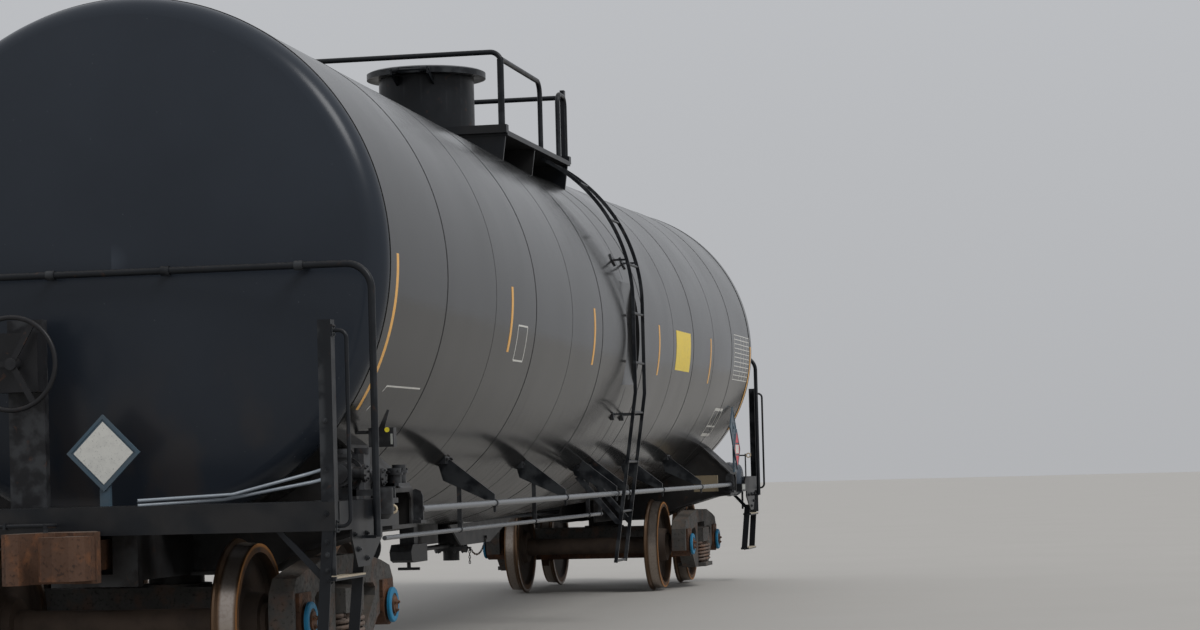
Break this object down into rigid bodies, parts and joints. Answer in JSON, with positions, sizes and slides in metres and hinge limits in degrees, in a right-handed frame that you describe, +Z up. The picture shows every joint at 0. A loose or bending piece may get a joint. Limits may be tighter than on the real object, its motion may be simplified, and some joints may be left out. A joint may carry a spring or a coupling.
{
  "type": "railway tank car",
  "caption": "Four-axle railway tank car: jacketed sloping tank, top walkway and hinged housing lid, swivelling trucks with turning wheelsets, ladders and handrails.",
  "frame": {"origin": "middle of the car's plan, at the level of the wheel flange tips", "axes": "+X along the car towards the end with the air reservoir, +Y across the car, +Z up"},
  "size_m": [18.12, 3.286, 4.6948],
  "materials": {
    "jacket_paint": "glossy",
    "frame_paint": "satin",
    "pipe_paint": "satin",
    "slate_paint": "satin",
    "cast_black": "matte",
    "grey_cast": "matte",
    "rusty_cast": "matte",
    "spring_rust": "matte",
    "wheel_steel": "worn",
    "valve_steel": "satin",
    "placard_blue": "satin"
  },
  "bodies": {
    "car": {"tank_jacket": "jacket_paint", "stub_sills": "frame_paint", "body_bolsters": "frame_paint", "end_platforms": "frame_paint", "end_handrails": "frame_paint", "grab_posts": "frame_paint", "sill_steps": "frame_paint", "couplers": "rusty_cast", "top_platform": "frame_paint", "top_railing": "frame_paint", "housing": "frame_paint", "top_fittings": "valve_steel", "side_ladders": "frame_paint", "ladder_rungs": "frame_paint", "side_pipes": "pipe_paint", "pipe_braces": "frame_paint", "control_valve": "cast_black", "air_reservoir": "slate_paint", "brake_cylinder": "cast_black", "hand_brake": "cast_black", "brake_pipe": "pipe_paint", "bottom_outlet": "cast_black", "placard_holders": "placard_blue"},
    "lid": {"housing_lid": "frame_paint"},
    "truck_a": {"truck_a_side_frames": "grey_cast", "truck_a_bolster": "grey_cast", "truck_a_springs": "spring_rust", "truck_a_bearings": "rusty_cast", "truck_a_brake_beams": "rusty_cast"},
    "truck_b": {"truck_b_side_frames": "grey_cast", "truck_b_bolster": "grey_cast", "truck_b_springs": "spring_rust", "truck_b_bearings": "rusty_cast", "truck_b_brake_beams": "rusty_cast"},
    "wheelset_1": {"wheelset_1_wheels": "wheel_steel", "wheelset_1_axle": "wheel_steel"},
    "wheelset_2": {"wheelset_2_wheels": "wheel_steel", "wheelset_2_axle": "wheel_steel"},
    "wheelset_3": {"wheelset_3_wheels": "wheel_steel", "wheelset_3_axle": "wheel_steel"},
    "wheelset_4": {"wheelset_4_wheels": "wheel_steel", "wheelset_4_axle": "wheel_steel"}
  },
  "joints": [
    {"name": "truck_a_swivel", "type": "hinge", "parent": "car", "child": "truck_a", "pos_m": [-6.9, 0, 0.682], "axis": [0, 0, 1], "range_deg": [-8, 8]},
    {"name": "truck_b_swivel", "type": "hinge", "parent": "car", "child": "truck_b", "pos_m": [6.9, 0, 0.682], "axis": [0, 0, 1], "range_deg": [-8, 8]},
    {"name": "wheelset_1_spin", "type": "hinge", "parent": "truck_a", "child": "wheelset_1", "pos_m": [-7.789, 0, 0.485], "axis": [0, 1, 0], "continuous": true},
    {"name": "wheelset_2_spin", "type": "hinge", "parent": "truck_a", "child": "wheelset_2", "pos_m": [-6.011, 0, 0.485], "axis": [0, 1, 0], "continuous": true},
    {"name": "wheelset_3_spin", "type": "hinge", "parent": "truck_b", "child": "wheelset_3", "pos_m": [6.011, 0, 0.485], "axis": [0, 1, 0], "continuous": true},
    {"name": "wheelset_4_spin", "type": "hinge", "parent": "truck_b", "child": "wheelset_4", "pos_m": [7.789, 0, 0.485], "axis": [0, 1, 0], "continuous": true},
    {"name": "housing_lid_hinge", "type": "hinge", "parent": "car", "child": "lid", "pos_m": [-0.995, 0, 4.64], "axis": [0, -1, 0], "range_deg": [0, 110]}
  ]
}
